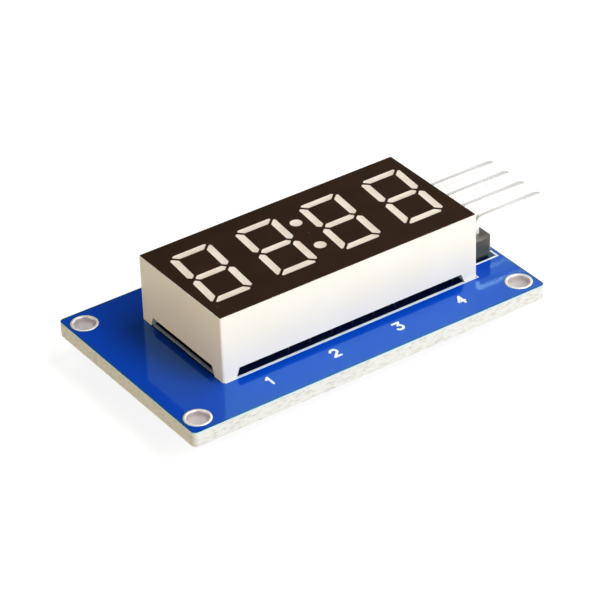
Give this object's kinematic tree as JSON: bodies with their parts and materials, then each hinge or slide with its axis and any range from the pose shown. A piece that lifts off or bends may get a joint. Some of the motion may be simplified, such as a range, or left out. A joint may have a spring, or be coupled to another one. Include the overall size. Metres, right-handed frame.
{
  "type": "seven segment display module",
  "caption": "Seven-segment clock display on a blue circuit board, with a colon, corner mounting holes, a bent pin header at one end and its driver chip underneath.",
  "frame": {"origin": "centre of the four mounting holes, on the underside of the board", "axes": "+X along the board towards the pin header, +Z out of the display's face"},
  "size_m": [0.0475, 0.024, 0.0113],
  "materials": {
    "board": "glass-fibre epoxy under glossy blue solder mask",
    "tinned_metal": "tin plated",
    "legend_ink": "printed ink",
    "housing": "moulded, satin",
    "face_film": "matt dark film",
    "segment_resin": "cast milky resin",
    "carrier_board": "glass-fibre epoxy",
    "light_chip": "polished",
    "potting_resin": "cast resin",
    "solder": "bright solder",
    "header_plastic": "moulded, satin",
    "header_pin": "bright tin plated",
    "chip_plastic": "moulded, fine matt",
    "resistor_body": "coated",
    "capacitor_body": "fired, satin"
  },
  "bodies": {
    "root": {"circuit_board": "board", "mounting_pads": "tinned_metal", "top_legend": "legend_ink", "underside_legend": "legend_ink", "display_housing": "housing", "display_face": "face_film", "digit_1_segments": "segment_resin", "digit_2_segments": "segment_resin", "digit_3_segments": "segment_resin", "digit_4_segments": "segment_resin", "colon_dots": "segment_resin", "led_carrier_board": "carrier_board", "led_dies": "light_chip", "display_potting": "potting_resin", "display_pins": "tinned_metal", "display_solder": "solder", "header_block": "header_plastic", "header_pin_1": "header_pin", "header_pin_2": "header_pin", "header_pin_3": "header_pin", "header_pin_4": "header_pin", "header_solder": "solder", "driver_chip_body": "chip_plastic", "driver_chip_leads": "tinned_metal", "driver_chip_solder": "solder", "resistor_bodies": "resistor_body", "resistor_end_caps": "tinned_metal", "capacitor_bodies": "capacitor_body", "capacitor_end_caps": "tinned_metal", "passive_solder": "solder"}
  },
  "joints": []
}
